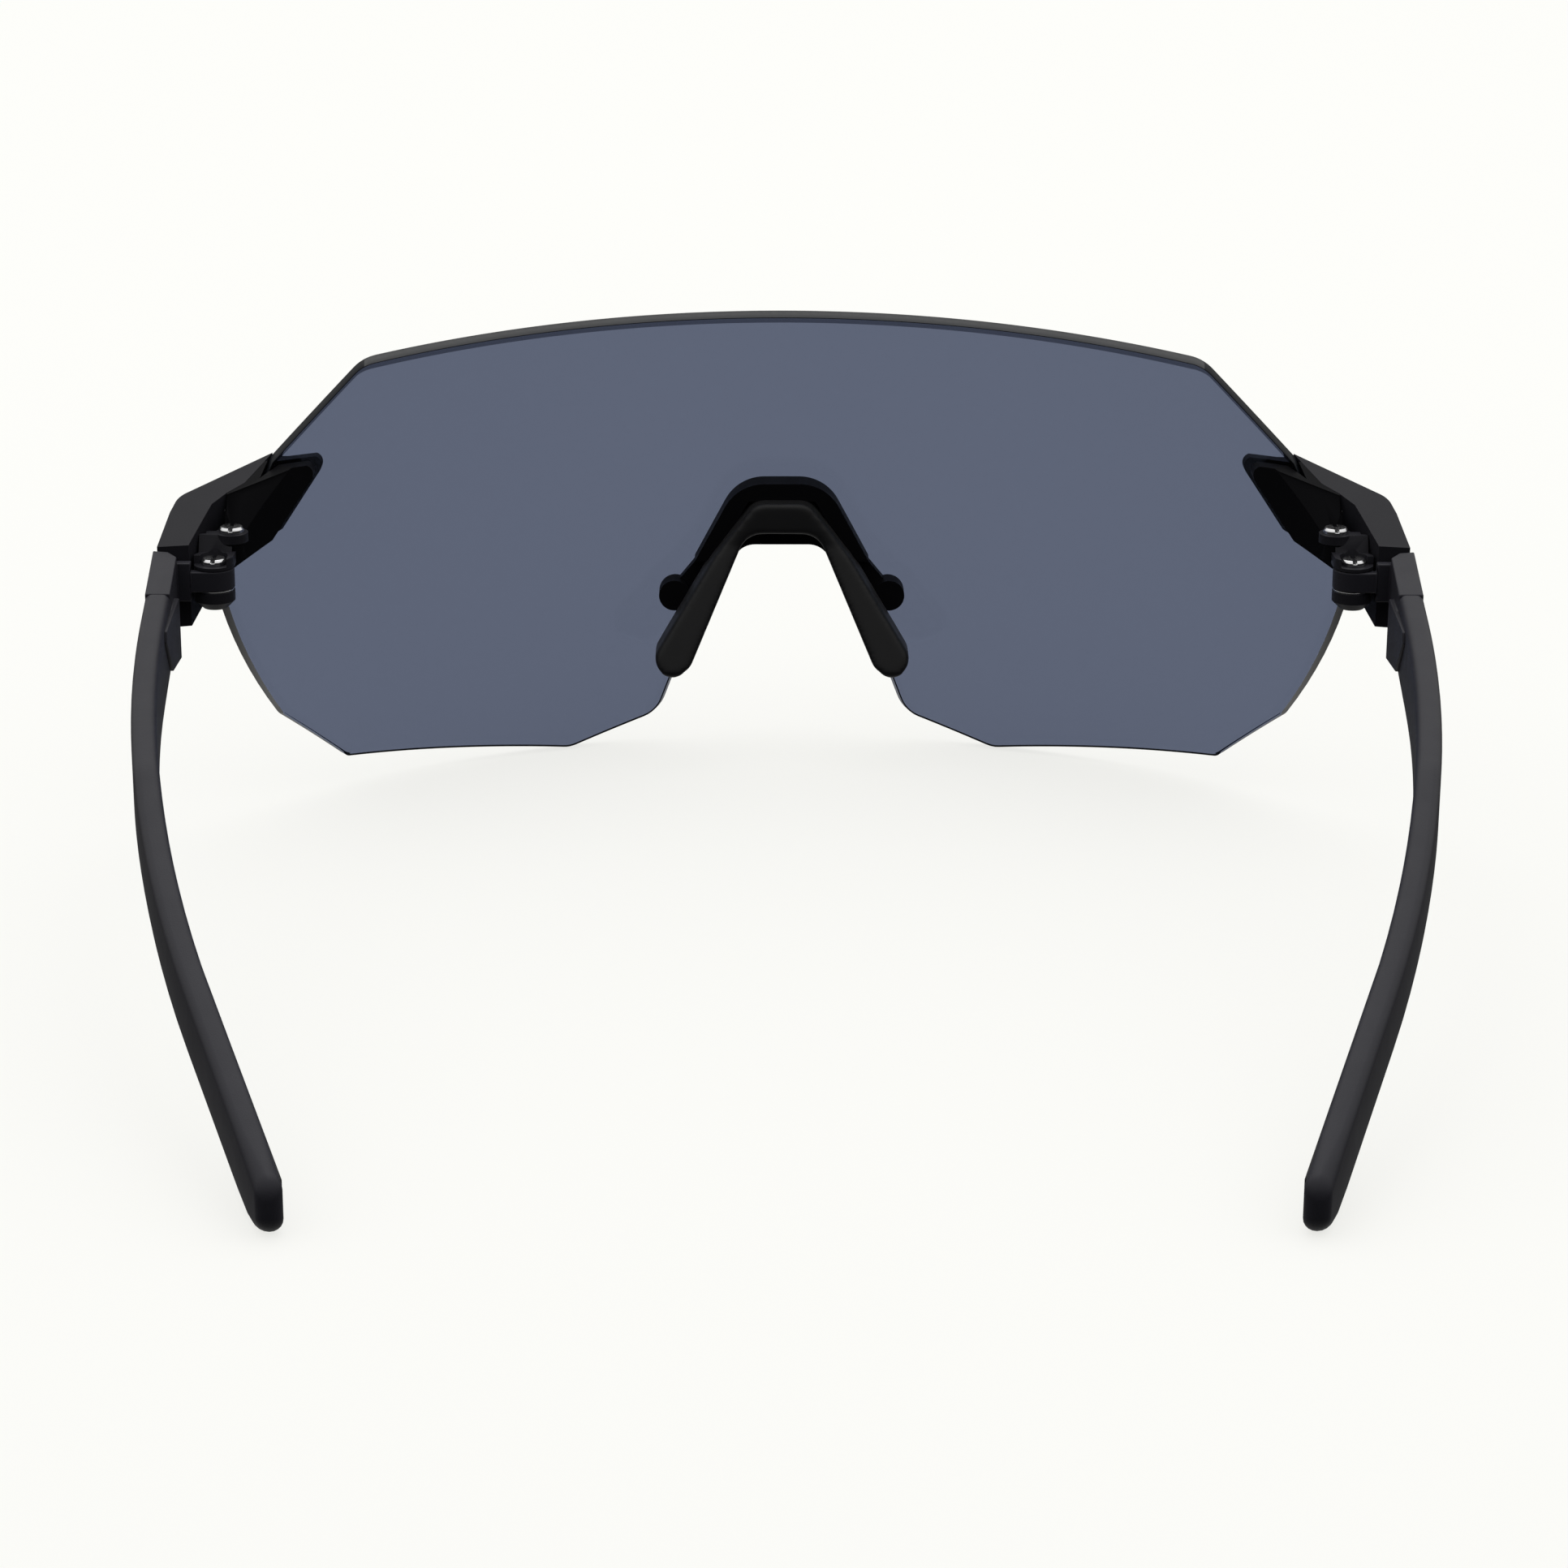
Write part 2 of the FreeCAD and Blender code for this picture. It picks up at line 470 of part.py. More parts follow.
def make_hinge_block():
    """Fixed half of the hinge: strap, spine, ear above the ring and cup below it."""
    cup = document.addObject("PartDesign::Body", "hinge_cup")
    sketch = pinned_sketch(cup, "hinge_cup_profile", "XZ_Plane",
                           [("0", "cup_bottom"), ("knuckle_radius - cup_round", "cup_bottom"),
                            ("knuckle_radius", "cup_bottom + cup_round"),
                            ("knuckle_radius", "cup_top"), ("0", "cup_top")])
    turn = cup.newObject("PartDesign::Revolution", "hinge_cup_turn")
    turn.Profile = sketch
    turn.ReferenceAxis = (sketch, ["V_Axis"])
    turn.Angle = FULL_TURN
    cup.Tip = turn
    place(cup, "hinge_x", back("hinge_setback"), "0")
    ear = knuckle("hinge_ear", "ear_bottom", "ear_top")
    spine = span_box("hinge_spine", ("spine_x", back("spine_rear"), "cup_bottom"),
                     ("spine_x + spine_width", back("spine_front"), "strap_top"))
    foot = span_box("hinge_spine_foot",
                    ("spine_x", back("hinge_setback"), "cup_bottom + cup_round"),
                    ("spine_x + spine_width", back("spine_rear - spine_lap"), "cup_top"))
    neck = span_box("hinge_neck", ("hinge_x - knuckle_radius", back("hinge_setback"), "ear_bottom"),
                    ("spine_x + spine_width", back("spine_rear - spine_lap"), "ear_top"))
    strap = span_box("hinge_strap", ("strap_end_x", back("spine_rear"), "strap_bottom"),
                     ("spine_x + spine_width", back("spine_front"), "strap_top"))
    eye = cylinder("hinge_eye", "eye_radius", "strap_top - strap_bottom", "boss_x",
                   back("boss_setback"), "strap_bottom")
    inside, rear = back("spine_rear - spine_lap"), back("deck_end")
    deck = prism("hinge_deck", "x",
                 [(inside, "strap_top"), (inside, "ear_seat"), (rear, "ear_seat"), (rear, "ear_top"),
                  (back("spine_rear"), "strap_top")],
                 "deck_x - strap_end_x", "strap_end_x")
    body = fuse("hinge_block_body", cup, ear, spine, foot, neck, strap, eye, deck)
    tools = [
        knuckle("hinge_block_hole", "cup_bottom + cup_floor", "strap_top + overcut",
                "hinge_screw_radius + running_fit"),
        knuckle("hinge_block_seat", "ear_seat", "strap_top + overcut",
                "screw_head_radius + head_room"),
        span_box("hinge_block_window",
                 ("hinge_x - screw_head_radius - head_room", back("hinge_setback + knuckle_radius * 2"),
                  "ear_seat"),
                 ("hinge_x + knuckle_radius * 2", back("hinge_setback"), "strap_top + overcut")),
        cylinder("hinge_block_room", "boss_radius + clearance", "strap_bottom - boss_bottom + overcut",
                 "boss_x", back("boss_setback"), "boss_bottom - overcut"),
        cylinder("hinge_block_pass", "clamp_screw_radius + running_fit", "end_height", "boss_x",
                 back("boss_setback"), "strap_bottom - overcut"),
        knuckle("hinge_ring_room", "cup_top", "ear_bottom", "knuckle_radius + ring_room"),
        end_block("hinge_end_room", "clearance")]
    return cut("hinge_block_right", body, *tools)


def screw(name, shank_radius, shank_length, head_radius, across, along, head_bottom):
    """Upright screw, head up, with a straight drive slot."""
    body = document.addObject("PartDesign::Body", name)
    head_top = "screw_head_height"
    sketch = pinned_sketch(body, name + "_profile", "XZ_Plane",
                           [("0", "-(%s)" % shank_length), (shank_radius, "-(%s)" % shank_length),
                            (shank_radius, "0"), (head_radius, "0"),
                            (head_radius, head_top + " * head_rim"),
                            (head_radius + " * head_crown", head_top), ("0", head_top)])
    turn = body.newObject("PartDesign::Revolution", name + "_turn")
    turn.Profile = sketch
    turn.ReferenceAxis = (sketch, ["V_Axis"])
    turn.Angle = FULL_TURN
    drive = pinned_sketch(body, name + "_drive", "XZ_Plane",
                          [("-drive_width / 2", "screw_head_height - drive_depth"),
                           ("drive_width / 2", "screw_head_height - drive_depth"),
                           ("drive_width / 2", "screw_head_height + overcut"),
                           ("-drive_width / 2", "screw_head_height + overcut")])
    document.recompute()
    whole = turn.Shape.Volume
    slot = body.newObject("PartDesign::Pocket", name + "_slot")
    slot.Profile = drive
    slot.Midplane = True
    bind(slot, {"Length": head_radius + " * 4"})
    body.Tip = slot
    document.recompute()
    if not slot.Shape.Volume < whole:
        raise RuntimeError(name + ": the drive slot cuts nothing")
    place(body, across, along, head_bottom)
    return body


# ---------------------------------------------------------------- temple

TEMPLE_PLAN = [("temple_front_x", back("temple_front")),
               ("fore_corner_x", back("temple_front + fore_step")),
               ("fore_inner_x", back("temple_front + fore_taper")),
               ("temple_bend_x - temple_thick", back("temple_bend")),
               ("temple_end_x - temple_thick", back("temple_end")),
               ("temple_end_x", back("temple_end")), ("temple_bend_x", back("temple_bend"))]
TEMPLE_SIDE = [(back("temple_end"), "0"), (back("foot_setback"), "0"),
               (back("low_bend"), "low_bend_z"), (back("low_belly"), "low_belly_z"),
               (back("temple_front"), "low_front_z"), (back("temple_front"), "top_front_z"),
               (back("seam_setback"), "seam_z"), (back("top_bend"), "top_bend_z"),
               (back("temple_end"), "top_end_z")]


def temple_blank():
    plan = prism("temple_plan", "z", TEMPLE_PLAN, "reach", "0", [
        ([TEMPLE_PLAN[6]], "temple_bend_radius"),
        ([TEMPLE_PLAN[3]], "temple_bend_radius - temple_thick"),
        ([TEMPLE_PLAN[4], TEMPLE_PLAN[5]], "corner_round")])
    side = prism("temple_side", "x", TEMPLE_SIDE, "reach * 2", "0", [
        ([TEMPLE_SIDE[2], TEMPLE_SIDE[7]], "temple_bend_radius"),
        ([TEMPLE_SIDE[3]], "profile_round"),
        ([TEMPLE_SIDE[0], TEMPLE_SIDE[8]], "tip_round")])
    return common("temple_blank", plan, side)


def tongue_prism(name, grow, inner_x, outer_x, front):
    corners = [(back(front), "tongue_low_z - tongue_step - %s" % grow),
               (back("tongue_low_setback + %s" % grow), "tongue_low_z - %s" % grow),
               (back("tongue_rear + %s" % grow), "tongue_rear_z"),
               (back("tongue_rear - tongue_step + %s" % grow),
                "tongue_rear_z + tongue_nose + %s" % grow),
               (back(front), "tongue_rear_z + tongue_shoulder + %s" % grow)]
    return prism(name, "x", corners, "(%s) - (%s)" % (outer_x, inner_x), inner_x)


INNER_X = "(temple_front_x - temple_thick - tongue_inset)"


def pin_hole(name):
    """Blind hole for the cross pin of the temple."""
    return cross_rod(name, "temple_pin_radius + snug_fit", "temple_pin_length",
                     INNER_X + " - pin_proud", back("temple_pin_setback"), "temple_pin_z", "x")


def make_temple_front(blank):
    fore = span_box("temple_fore", ("0", back("seam_setback"), "0"),
                    ("reach * 2", back("end_rear_setback"), "reach"))
    housing = common("temple_housing", blank, fore)
    tongue = tongue_prism("temple_tongue", "0", INNER_X + " - tongue_proud",
                          INNER_X + " + tongue_depth", "tongue_front")
    gusset = span_box("temple_gusset", ("gusset_x", back("gusset_rear"), "gusset_low"),
                      ("temple_front_x - gusset_cover", back("gusset_front"), "gusset_high"))
    arm = span_box("temple_knuckle_arm", ("hinge_x", back("hinge_setback + knuckle_radius"), "ring_bottom"),
                   ("temple_front_x - gusset_cover", back("gusset_front"), "ring_top"))
    ring = knuckle("temple_ring", "ring_bottom", "ring_top")
    body = fuse("temple_front_body", housing, tongue, gusset, arm, ring)
    bore = knuckle("temple_bore", "ring_bottom - overcut", "ring_top + overcut",
                   "hinge_screw_radius + running_fit")
    return cut("temple_front_right", body, bore, pin_hole("tongue_pin_hole"))


def grip_prism(name, grow, inner_offset, outer_offset):
    """Slanted slab along the inner side of the tip, between two offsets from that side."""
    body = document.addObject("PartDesign::Body", name)
    slope = "(temple_bend_x - temple_end_x) / (temple_end - temple_bend)"
    corners = []
    start, end = "grip_start - %s" % grow, "grip_end + %s" % grow
    for setback, offset in ((start, outer_offset), (start, inner_offset),
                            (end, inner_offset), (end, outer_offset)):
        across = "temple_bend_x - temple_thick - (%s - temple_bend) * %s + %s" % (setback, slope, offset)
        corners.append((across, back(setback)))
    sketch = pinned_sketch(body, name + "_outline", "XY_Plane", corners)
    pad = body.newObject("PartDesign::Pad", name + "_pad")
    pad.Profile = sketch
    bind(pad, {"Length": "reach"})
    body.Tip = pad
    return body


def grip_band(name, grow):
    """Side outline of the grip: the tip's outline less a margin."""
    low_slope = "low_bend_z / (foot_setback - low_bend)"
    top_slope = "(top_bend_z - top_end_z) / (temple_end - top_bend)"
    corners = []
    for setback, edge in (("grip_end", "low"), ("grip_start", "low"),
                          ("grip_start", "top"), ("grip_end", "top")):
        if edge == "low":
            level = "(foot_setback - %s) * %s + grip_low_margin - %s" % (setback, low_slope, grow)
        else:
            level = "top_end_z + (temple_end - %s) * %s - grip_margin + %s" % (setback, top_slope, grow)
        sign = "+" if setback == "grip_end" else "-"
        corners.append((back("%s %s %s" % (setback, sign, grow)), level))
    return prism(name, "x", corners, "reach * 2", "0")


def make_grip():
    return common("temple_grip_right", grip_prism("grip_slab", "0", "-grip_proud", "grip_depth"),
                  grip_band("grip_outline", "0"))


def make_temple_arm(blank):
    aft = span_box("temple_aft", ("0", back("temple_end + overcut"), "-overcut"),
                   ("reach * 2", back("seam_setback + temple_seam"), "reach"))
    arm = common("temple_arm_blank", blank, aft)
    pocket = tongue_prism("tongue_pocket", "clearance", INNER_X + " - tongue_proud - overcut",
                          INNER_X + " + tongue_depth + clearance", "tongue_front")
    grip_pocket = common("grip_pocket",
                         grip_prism("grip_room", "running_fit", "-overcut", "grip_depth + running_fit"),
                         grip_band("grip_room_outline", "running_fit"))
    return cut("temple_arm_right", arm, pocket, grip_pocket, pin_hole("arm_pin_hole"))


# ---------------------------------------------------------------- nose bridge and pad

def u_band(name, outer, inner, length, start, rounds=()):
    """Inverted U seen from the front; outer and inner list its right half from the top.

    rounds holds (corner of the right half, radius) pairs, and both sides are rounded."""
    pairs = [([corner, ("-(%s)" % corner[0], corner[1])], radius) for corner, radius in rounds]
    return prism(name, "y", full_band(outer, inner), length, start, pairs)


def full_band(outer, inner):
    """Anticlockwise outline: up the right outer side, down the left one and back inside."""
    right_outer = list(reversed(outer))
    left_outer = [("-(%s)" % c[0], c[1]) for c in outer]
    left_inner = [("-(%s)" % c[0], c[1]) for c in reversed(inner)]
    return right_outer + left_outer + left_inner + list(inner)


def beside_notch(offset):
    """Line beside the edge of the notch: positive offsets lie on the lens."""
    return [("notch_top_x + (%s) * top_share" % offset, "notch_top_z + (%s)" % offset),
            ("notch_side_x + (%s) * side_share" % offset,
             "notch_side_z + (%s) * rise_share" % offset),
            ("clip_foot_x + (%s)" % offset, "clip_foot_z")]


def behind_shell(name):
    """Room behind the lens, from its inner face backwards."""
    return shell(name, "lens_thick + clearance", "lens_thick + behind_depth")


def make_nose_bridge():
    """Clip over the notch, with a hood, a seat for the pad and two legs behind the lens."""
    flange = common("bridge_flange", shell("bridge_flange_shell", "-front_flange", "-clearance"),
                    u_band("bridge_flange_outline", beside_notch("clip_cover"),
                           beside_notch("-clip_wall"), "reach",
                           "%s + front_flange * 2" % LENS_FRONT,
                           [(beside_notch("clip_cover")[0], "hood_round"),
                            (beside_notch("-clip_wall")[0], "web_round")]))
    web_inner = beside_notch("-clip_wall")
    web = u_band("bridge_web", beside_notch("-clearance"), web_inner,
                 "seat_setback + front_flange / 2", "%s + front_flange / 2" % LENS_FRONT,
                 [(beside_notch("-clearance")[0], "notch_round"), (web_inner[0], "web_round")])
    hood_outer = [("hood_top_x", "hood_top_z"), ("hood_end_x", "hood_end_z")]
    hood_inner = [("hood_top_x - hood_thick * top_share", "hood_top_z - hood_thick"),
                  ("hood_end_x - hood_thick", "hood_end_z")]
    behind_lens = behind_shell("bridge_hood_shell")
    seat_inner = [("notch_top_x - clip_wall * top_share", "notch_top_z - clip_wall"),
                  ("seat_inner_x", "hood_end_z")]
    hood = common("bridge_hood", behind_lens,
                  u_band("bridge_hood_outline", hood_outer, hood_inner, "hood_setback", LENS_FRONT,
                         [(hood_outer[0], "hood_round")]))
    seat = common("bridge_seat", behind_shell("bridge_seat_shell"),
                  u_band("bridge_seat_outline", hood_outer, seat_inner, "seat_setback", LENS_FRONT,
                         [(hood_outer[0], "hood_round"), (seat_inner[0], "web_round")]))
    legs = []
    for side, sign in (("right", ""), ("left", "-")):
        corners = [("leg_inner_x", "leg_top_z"), ("leg_foot_inner_x", "lug_z - leg_slant"),
                   ("leg_foot_outer_x", "lug_z + leg_slant"), ("leg_outer_x", "leg_top_z")]
        if sign:
            corners = [("-(%s)" % c[0], c[1]) for c in reversed(corners)]
        leg = prism("bridge_leg_" + side, "y", corners, "leg_setback", LENS_FRONT)
        lug = cross_rod("bridge_lug_" + side, "lug_radius", "lug_setback", sign + "lug_x",
                        LENS_FRONT, "lug_z", "back")
        legs.append(common("bridge_foot_" + side,
                           behind_shell("bridge_foot_shell_" + side),
                           fuse("bridge_foot_blank_" + side, leg, lug)))
    body = fuse("bridge_body", flange, web, hood, seat, *legs)
    holes = [cross_rod("bridge_hole_" + side, "rivet_radius + snug_fit",
                       "lug_setback - rivet_short + reach + clearance", sign + "lug_x",
                       "%s + reach" % LENS_FRONT, "lug_z", "back")
             for side, sign in (("right", ""), ("left", "-"))]
    return cut("nose_bridge", body, lens, *holes)


def make_rivets():
    """Two headed pins that hold the bridge's lugs against the lens."""
    pins = []
    for side, sign in (("right", ""), ("left", "-")):
        seat = "(%s - lug_surface)" % LENS_FRONT
        shank = cross_rod("rivet_shank_" + side, "rivet_radius", "lug_setback - lug_surface - rivet_short",
                          sign + "lug_x", seat, "lug_z", "back")
        head = cross_rod("rivet_head_" + side, "rivet_head", "rivet_head_height",
                         sign + "lug_x", seat + " + rivet_head_height", "lug_z", "back")
        pins += [shank, head]
    return fuse("nose_rivets", *pins)


def make_nose_pad(bridge):
    front = full_band(
        [("pad_top_x", "pad_top_z"), ("pad_shoulder_x", "pad_shoulder_z"), ("pad_low_x", "pad_low_z"),
         ("pad_toe_x", "pad_toe_z")],
        [("pad_arch_x", "pad_arch_z"), ("pad_inner_x", "pad_inner_z")])
    outline = prism("pad_outline", "y", front, "reach", LENS_FRONT, [
        (both_sides(("pad_low_x", "pad_low_z"), ("pad_toe_x", "pad_toe_z")), "pad_round"),
        (both_sides(("pad_arch_x", "pad_arch_z")), "pad_arch_round"),
        (both_sides(("pad_top_x", "pad_top_z"), ("pad_shoulder_x", "pad_shoulder_z")),
         "pad_shoulder_round")])
    side = [(back("pad_front"), "pad_top_z"), (back("pad_back"), "pad_top_z"),
            (back("pad_knee"), "pad_knee_z"),
            (back("pad_toe_back"), "pad_toe_z + pad_toe_round"),
            (back("pad_toe_back - pad_toe_round"), "pad_toe_z - overcut"),
            (back("pad_toe_front"), "pad_toe_z - overcut"),
            (back("pad_lug_setback"), "pad_lug_z"), (back("pad_front"), "pad_waist_z")]
    profile = prism("pad_profile", "x", side, "reach", "-reach / 2")
    return cut("nose_pad", common("pad_blank", outline, profile), bridge)


# ---------------------------------------------------------------- assembly

end_slab = slab()
blank = temple_blank()
right_pieces = [
    make_end_piece(end_slab),
    make_lens_clamp(end_slab),
    make_hinge_block(),
    screw("hinge_screw_right", "hinge_screw_radius", "ear_seat - cup_bottom - screw_end",
          "screw_head_radius", "hinge_x", back("hinge_setback"), "ear_seat"),
    screw("clamp_screw_right", "clamp_screw_radius", "clamp_screw_length",
          "screw_head_radius", "boss_x", back("boss_setback"), "strap_top"),
    cut("hinge_washer_right",
        knuckle("washer_disc", "cup_top", "cup_top + washer_thick", "washer_radius"),
        knuckle("washer_hole", "cup_top - overcut", "cup_top + overcut",
                "hinge_screw_radius + running_fit")),
    make_temple_front(blank),
    make_temple_arm(blank),
    cross_rod("temple_pin_right", "temple_pin_radius", "temple_pin_length", INNER_X + " - pin_proud",
              back("temple_pin_setback"), "temple_pin_z", "x"),
    make_grip(),
]
nose_bridge = make_nose_bridge()
middle_pieces = [lens, nose_bridge, make_rivets(), make_nose_pad(nose_bridge)]

left_pieces = []
for piece in right_pieces:
    twin = document.addObject("Part::Mirroring", piece.Name.replace("_right", "_left"))
    twin.Source = piece
    twin.Normal = (1, 0, 0)
    twin.Base = (0, 0, 0)
    left_pieces.append(twin)

document.recompute()
for thing in document.Objects:
    if "Invalid" in thing.State or "Error" in thing.State:
        raise RuntimeError("%s failed: %s" % (thing.Name, thing.State))

os.makedirs("parts", exist_ok=True)
for piece in middle_pieces + right_pieces + left_pieces:
    piece.Label = piece.Name
    if piece.Shape.isNull() or not piece.Shape.isValid():
        raise RuntimeError(piece.Name + ": bad shape")
    piece.Shape.exportStep("parts/%s.step" % piece.Label)
    print("%-20s solids %d  volume %9.2f mm3" % (piece.Label, len(piece.Shape.Solids), piece.Shape.Volume))
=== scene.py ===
import math

import bmesh
import bpy
from mathutils import Matrix, Vector


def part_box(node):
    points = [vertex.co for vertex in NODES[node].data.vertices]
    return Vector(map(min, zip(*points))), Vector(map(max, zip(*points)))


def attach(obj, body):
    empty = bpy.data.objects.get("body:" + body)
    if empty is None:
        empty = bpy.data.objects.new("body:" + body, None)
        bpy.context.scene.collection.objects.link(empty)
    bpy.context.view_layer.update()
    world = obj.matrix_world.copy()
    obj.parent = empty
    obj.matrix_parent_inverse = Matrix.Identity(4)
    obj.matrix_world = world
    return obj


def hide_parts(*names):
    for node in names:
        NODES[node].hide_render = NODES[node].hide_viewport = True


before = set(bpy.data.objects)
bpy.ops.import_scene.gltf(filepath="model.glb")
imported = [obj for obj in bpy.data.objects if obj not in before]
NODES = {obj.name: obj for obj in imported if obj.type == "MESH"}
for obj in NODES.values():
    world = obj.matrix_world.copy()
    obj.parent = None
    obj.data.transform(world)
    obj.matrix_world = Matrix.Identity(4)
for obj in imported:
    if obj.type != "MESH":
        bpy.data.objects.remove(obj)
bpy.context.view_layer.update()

# Lengths are in metres, and MM turns millimetres into them. +X is the wearer's right, +Y points
# forwards through the lens and +Z is up.
MM = 0.001
SIDES = ("right", "left")


# ---------------------------------------------------------------- materials

def new_material(name):
    """Empty node material with its Principled shader."""
    material = bpy.data.materials.new(name)
    material.use_nodes = True
    return material, material.node_tree, material.node_tree.nodes["Principled BSDF"]


def add_node(tree, kind, **settings):
    """New node; each setting goes to the input of that name, or else to the property."""
    node = tree.nodes.new(kind)
    for key, value in settings.items():
        if key in node.inputs:
            node.inputs[key].default_value = value
        else:
            setattr(node, key, value)
    return node


def spread(tree, factor, low, high):
    """Maps a 0 to 1 factor to a range."""
    node = add_node(tree, "ShaderNodeMapRange")
    node.inputs["To Min"].default_value = low
    node.inputs["To Max"].default_value = high
    tree.links.new(factor, node.inputs["Value"])
    return node.outputs["Result"]


def grain(tree, scale, detail=6.0):
    """Noise in object space; the scale is in cycles per metre."""
    place = add_node(tree, "ShaderNodeTexCoord")
    noise = add_node(tree, "ShaderNodeTexNoise", Scale=scale, Detail=detail)
    tree.links.new(place.outputs["Object"], noise.inputs["Vector"])
    return noise.outputs["Fac"]


def two_tone(tree, shader, factor, dark, light):
    """Base colour that drifts between two shades."""
    mix = add_node(tree, "ShaderNodeMix", data_type="RGBA")
    mix.inputs["A"].default_value = (*dark, 1.0)
    mix.inputs["B"].default_value = (*light, 1.0)
    tree.links.new(factor, mix.inputs["Factor"])
    tree.links.new(mix.outputs["Result"], shader.inputs["Base Color"])


def uneven_gloss(tree, shader, scale, low, high):
    """Roughness that drifts between two values."""
    tree.links.new(spread(tree, grain(tree, scale), low, high), shader.inputs["Roughness"])


def bump(tree, shader, factor, strength, depth):
    """Fine relief; the depth is in metres."""
    node = add_node(tree, "ShaderNodeBump", Strength=strength, Distance=depth)
    tree.links.new(factor, node.inputs["Height"])
    tree.links.new(node.outputs["Normal"], shader.inputs["Normal"])


def moulded_plastic(name, dark, light, rough, grain_depth, shine):
    """Injection-moulded polymer with a fine spark-eroded grain and slight flow shading."""
    material, tree, shader = new_material(name)
    two_tone(tree, shader, grain(tree, scale=90.0, detail=3.0), dark, light)
    uneven_gloss(tree, shader, scale=300.0, low=rough[0], high=rough[1])
    bump(tree, shader, grain(tree, scale=6500.0, detail=2.0), strength=0.35, depth=grain_depth)
    shader.inputs["IOR"].default_value = 1.5
    shader.inputs["Specular IOR Level"].default_value = shine
    return material


def soft_rubber(name, dark, light):
    """Matte elastomer with a faint sheen at grazing angles."""
    material, tree, shader = new_material(name)
    two_tone(tree, shader, grain(tree, scale=140.0, detail=4.0), dark, light)
    uneven_gloss(tree, shader, scale=500.0, low=0.42, high=0.56)
    bump(tree, shader, grain(tree, scale=4000.0, detail=3.0), strength=0.25, depth=0.00003)
    shader.inputs["Specular IOR Level"].default_value = 0.25
    shader.inputs["Sheen Weight"].default_value = 0.03
    shader.inputs["Sheen Roughness"].default_value = 0.4
    return material


def turned_steel():
    """Bright screw steel with a fine even grain."""
    material, tree, shader = new_material("turned_steel")
    two_tone(tree, shader, grain(tree, scale=900.0, detail=4.0),
             dark=(0.56, 0.56, 0.58), light=(0.72, 0.72, 0.73))
    uneven_gloss(tree, shader, scale=2500.0, low=0.14, high=0.28)
    bump(tree, shader, grain(tree, scale=9000.0, detail=2.0), strength=0.2, depth=0.00001)
    shader.inputs["Metallic"].default_value = 1.0
    return material


def tinted_lens(name, dark, light):
    """Grey-blue clear polymer with a polished surface."""
    material, tree, shader = new_material(name)
    two_tone(tree, shader, grain(tree, scale=12.0, detail=1.0), dark, light)
    shader.inputs["Roughness"].default_value = 0.0
    shader.inputs["Transmission Weight"].default_value = 1.0
    shader.inputs["IOR"].default_value = 1.45
    shader.inputs["Specular IOR Level"].default_value = 0.25
    return material


def lens_edge(name, dark, light, shine):
    """Opaque ground edge of the lens, where the tint is seen end on."""
    material, tree, shader = new_material(name)
    two_tone(tree, shader, grain(tree, scale=200.0, detail=3.0), dark, light)
    uneven_gloss(tree, shader, scale=1500.0, low=0.30, high=0.44)
    shader.inputs["Specular IOR Level"].default_value = shine
    return material


def pale_floor():
    """Pale sheet that also gives off light of its own, so that shadows stay faint."""
    material, tree, shader = new_material("pale_floor")
    two_tone(tree, shader, grain(tree, scale=4.0, detail=2.0),
             dark=(0.155, 0.155, 0.155), light=(0.165, 0.165, 0.165))
    shader.inputs["Roughness"].default_value = 0.9
    shader.inputs["Emission Color"].default_value = (1.0, 1.0, 0.965, 1.0)
    shader.inputs["Emission Strength"].default_value = 0.765
    return material


FRAME_BLACK = moulded_plastic(
    "frame_black", dark=(0.0145, 0.0143, 0.0180), light=(0.0190, 0.0187, 0.0235),
    rough=(0.36, 0.48), grain_depth=0.00002, shine=0.10)
# Darker copy of the frame plastic for the lens clamps, nose bridge and rivets: painted shade for
# their faces turned away from the light.
PAINTED_SHADE_BLACK = moulded_plastic(
    "painted_shade_black", dark=(0.004, 0.004, 0.005), light=(0.006, 0.006, 0.007),
    rough=(0.40, 0.52), grain_depth=0.00002, shine=0.03)
TEMPLE_BLACK = moulded_plastic(
    "temple_black", dark=(0.0190, 0.0187, 0.0245), light=(0.0245, 0.0241, 0.0315),
    rough=(0.38, 0.50), grain_depth=0.00003, shine=0.14)
RUBBER = soft_rubber("soft_rubber", dark=(0.006, 0.006, 0.007), light=(0.009, 0.009, 0.010))
STEEL = turned_steel()
LENS_TINT = tinted_lens("tinted_lens", dark=(0.112, 0.131, 0.193), light=(0.118, 0.138, 0.202))
# Very dark tint on the top bevel of the rear rim: painted shade for the dark line that the edge
# throws into the lens.
LENS_BEVEL_PAINTED_SHADE = tinted_lens("lens_bevel_painted_shade", dark=(0.012, 0.015, 0.026), light=(0.015, 0.018, 0.031))
# Lighter, bluer tint on the wrapped side walls: painted light.
LENS_WALL_PAINTED_LIGHT = tinted_lens("lens_wall_painted_light", dark=(0.190, 0.250, 0.490), light=(0.200, 0.265, 0.515))
LENS_EDGE = lens_edge(
    "lens_edge", dark=(0.014, 0.015, 0.018), light=(0.022, 0.023, 0.027), shine=0.12)
# Darker, duller copy of the edge for the sloped stretches of the top edge: painted shade, since
# they face less upwards than the level middle.
LENS_EDGE_SLOPE_PAINTED_SHADE = lens_edge(
    "lens_edge_slope_painted_shade", dark=(0.006, 0.007, 0.009), light=(0.010, 0.011, 0.014), shine=0.02)


# ---------------------------------------------------------------- mesh helpers

